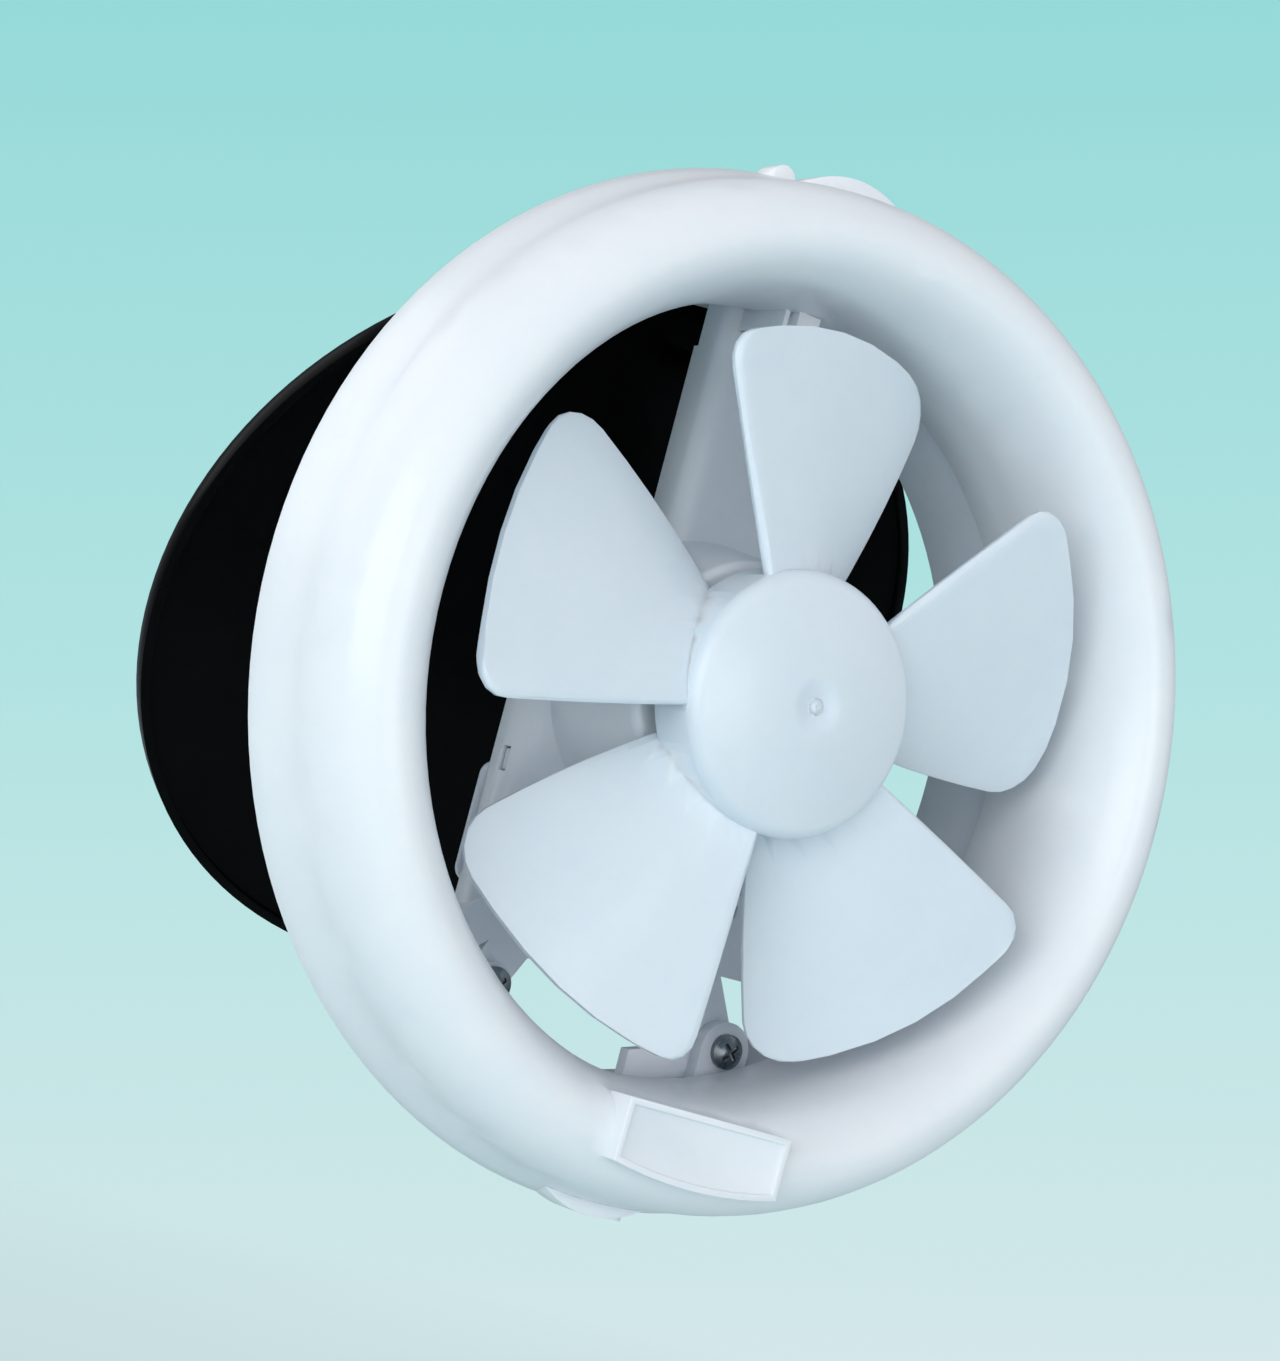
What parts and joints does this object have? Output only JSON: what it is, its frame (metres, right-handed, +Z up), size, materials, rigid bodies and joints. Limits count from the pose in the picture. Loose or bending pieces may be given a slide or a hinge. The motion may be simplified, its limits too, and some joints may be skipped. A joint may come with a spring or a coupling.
{
  "type": "exhaust fan",
  "caption": "Round window exhaust fan with a bellmouth ring, a domed hub with broad curved blades on a bracketed motor, and a hinged rear shutter.",
  "frame": {"origin": "on the fan axis, in the plane of the glass face that the gasket rests on", "axes": "+Y along the fan axis from the room to the outside, +Z up, +X to the right as seen from the room"},
  "size_m": [0.208, 0.1525, 0.2115],
  "materials": {
    "white_plastic": "gloss, slightly cool white moulding",
    "frame_plastic": "semi-gloss white moulding",
    "blade_plastic": "gloss pale blue-white, slightly translucent",
    "black_plastic": "gloss black",
    "gasket_rubber": "matte dark rubber",
    "zinc_steel": "grey zinc plate",
    "bright_steel": "ground steel",
    "laminated_steel": "stacked laminations, oiled",
    "copper_winding": "enamelled copper wire",
    "sintered_bronze": "sintered bronze",
    "cage_aluminium": "die-cast aluminium"
  },
  "bodies": {
    "frame": {"orifice_ring": "white_plastic", "mounting_frame": "frame_plastic", "glass_gasket": "gasket_rubber", "ring_catches": "white_plastic", "glass_clamps": "frame_plastic", "clamp_screws": "zinc_steel", "cable_grommet": "gasket_rubber", "motor_bracket": "white_plastic", "bracket_rear_cover": "frame_plastic", "bracket_screws": "zinc_steel", "stator_core": "laminated_steel", "stator_coils": "copper_winding", "stator_screws": "zinc_steel", "front_bearing": "sintered_bronze", "rear_bearing": "sintered_bronze", "terminal_block": "frame_plastic", "terminal_screws": "sintered_bronze", "solenoid_yoke": "zinc_steel", "solenoid_coil": "copper_winding", "lever_pin": "zinc_steel", "hinge_pin": "zinc_steel"},
    "impeller": {"impeller": "blade_plastic", "hub_insert": "sintered_bronze", "motor_shaft": "bright_steel", "rotor_core": "laminated_steel", "rotor_cage": "cage_aluminium", "thrust_washers": "gasket_rubber"},
    "shutter": {"shutter_disc": "black_plastic"},
    "lever": {"shutter_lever": "zinc_steel"},
    "link": {"shutter_link": "zinc_steel", "link_pins": "zinc_steel"},
    "plunger": {"solenoid_plunger": "bright_steel"}
  },
  "joints": [
    {"name": "impeller_spin", "type": "hinge", "parent": "frame", "child": "impeller", "pos_m": [0, 0, 0], "axis": [0, 1, 0], "continuous": true},
    {"name": "shutter_hinge", "type": "hinge", "parent": "frame", "child": "shutter", "pos_m": [0, 0.0318, 0.0867], "axis": [-1, 0, 0], "range_deg": [0, 29.6]},
    {"name": "lever_pivot", "type": "hinge", "parent": "frame", "child": "lever", "pos_m": [0, 0.0232, 0.074], "axis": [-1, 0, 0], "range_deg": [0, 29.6]},
    {"name": "link_pivot", "type": "hinge", "parent": "lever", "child": "link", "pos_m": [0, 0.02689, 0.05434], "axis": [-1, 0, 0], "range_deg": [-29.6, 0]},
    {"name": "plunger_slide", "type": "slide", "parent": "frame", "child": "plunger", "axis": [0, 0, 1], "range_m": [0, 0.0036]}
  ],
  "couplings": [
    {"joint": "lever_pivot", "follows": "shutter_hinge", "ratio": 1},
    {"joint": "link_pivot", "follows": "shutter_hinge", "ratio": -1},
    {"joint": "plunger_slide", "follows": "shutter_hinge", "m_per_rad": 0.006725}
  ]
}
